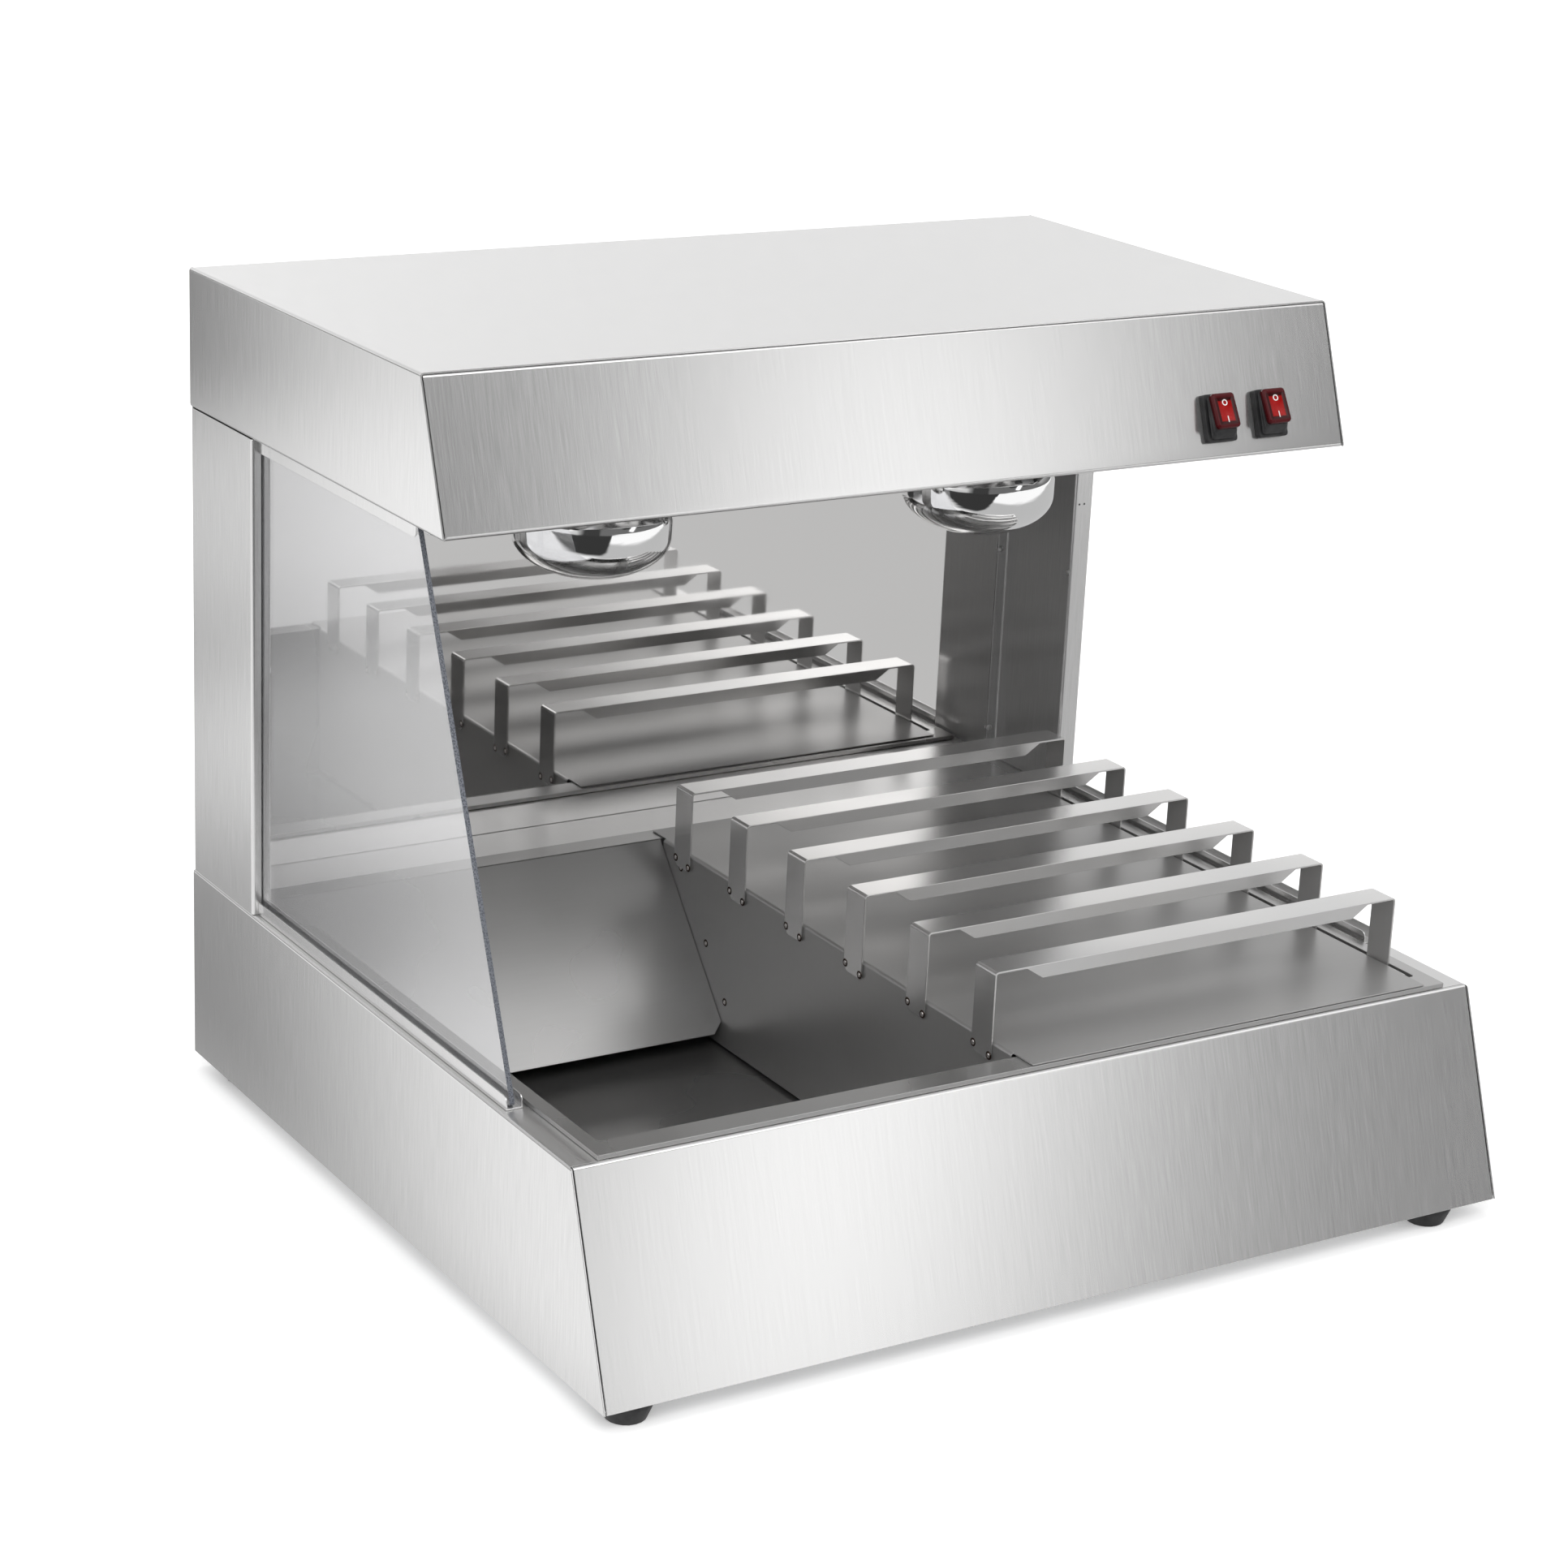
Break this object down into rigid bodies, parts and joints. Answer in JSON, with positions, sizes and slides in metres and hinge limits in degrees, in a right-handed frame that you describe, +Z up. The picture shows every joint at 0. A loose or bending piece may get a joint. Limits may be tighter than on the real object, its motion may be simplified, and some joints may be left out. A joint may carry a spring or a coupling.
{
  "type": "chip warmer",
  "caption": "Counter-top chip warmer: steel base with a lift-out pan, chute and bagging rack, heat lamps under a canopy on columns, a polished back and a loose side glass.",
  "frame": {"origin": "on the bench, at the middle of the whole outline with the cable gland", "axes": "+X to the right as the user faces the open side, +Y to the back, +Z up"},
  "size_m": [0.8, 0.724, 0.674],
  "materials": {
    "brushed_steel": "brushed stainless sheet with an upright grain",
    "satin_steel": "satin mill-finish stainless sheet",
    "mirror_steel": "mirror-polished stainless sheet",
    "zinc_steel": "plain galvanised sheet",
    "silvered_glass": "silvered reflector lamp with a clear face",
    "brass": "plain",
    "ceramic": "glazed white",
    "rubber": "matt black",
    "black_plastic": "fine matt",
    "white_plastic": "fine matt",
    "red_plastic": "clear red, glossy",
    "glass": "clear with ground edges",
    "lead_sleeve": "heat-proof sleeve"
  },
  "bodies": {
    "casing": {"base_left_side": "brushed_steel", "base_right_side": "brushed_steel", "base_front_panel": "brushed_steel", "base_rear_panel": "brushed_steel", "base_floor": "zinc_steel", "foot_front_left": "rubber", "foot_front_right": "rubber", "foot_rear_left": "rubber", "foot_rear_right": "rubber", "column_left": "brushed_steel", "column_right": "brushed_steel", "track_bottom_left": "brushed_steel", "track_bottom_right": "brushed_steel", "track_top_left": "brushed_steel", "track_top_right": "brushed_steel", "mirror_panel": "mirror_steel", "rear_cover": "brushed_steel", "canopy_shell": "brushed_steel", "canopy_front_panel": "brushed_steel", "lamp_tray": "satin_steel", "lamp_bulb_left": "silvered_glass", "lamp_bulb_right": "silvered_glass", "lamp_cap_left": "brass", "lamp_cap_right": "brass", "lamp_holder_left": "ceramic", "lamp_holder_right": "ceramic", "switch_boot_left": "rubber", "switch_boot_right": "rubber", "switch_body_left": "black_plastic", "switch_body_right": "black_plastic", "switch_cover": "zinc_steel", "cable_gland": "black_plastic", "terminal_block": "white_plastic", "supply_lead": "lead_sleeve", "lamp_lead_left": "lead_sleeve", "lamp_lead_right": "lead_sleeve"},
    "side_glass": {"side_glass": "glass"},
    "chip_pan": {"chip_pan": "satin_steel"},
    "bagging_rack": {"rack_plate": "satin_steel", "rack_rail_1": "satin_steel", "rack_rail_2": "satin_steel", "rack_rail_3": "satin_steel", "rack_rail_4": "satin_steel", "rack_rail_5": "satin_steel", "rack_rail_6": "satin_steel", "chute_plate": "satin_steel"},
    "rocker_left": {"rocker_left": "red_plastic"},
    "rocker_right": {"rocker_right": "red_plastic"}
  },
  "joints": [
    {"name": "side_glass_slide", "type": "slide", "parent": "casing", "child": "side_glass", "axis": [0, -1, 0], "range_m": [0, 0.4]},
    {"name": "pan_lift", "type": "slide", "parent": "casing", "child": "chip_pan", "axis": [0, 0, 1], "range_m": [0, 0.1]},
    {"name": "rack_lift", "type": "slide", "parent": "chip_pan", "child": "bagging_rack", "axis": [0, 0, 1], "range_m": [0, 0.1]},
    {"name": "rocker_left_press", "type": "hinge", "parent": "casing", "child": "rocker_left", "pos_m": [0.2766, -0.08504, 0.59307], "axis": [1, 0, 0], "range_deg": [0, 20]},
    {"name": "rocker_right_press", "type": "hinge", "parent": "casing", "child": "rocker_right", "pos_m": [0.3269, -0.08504, 0.59307], "axis": [1, 0, 0], "range_deg": [0, 20]}
  ]
}
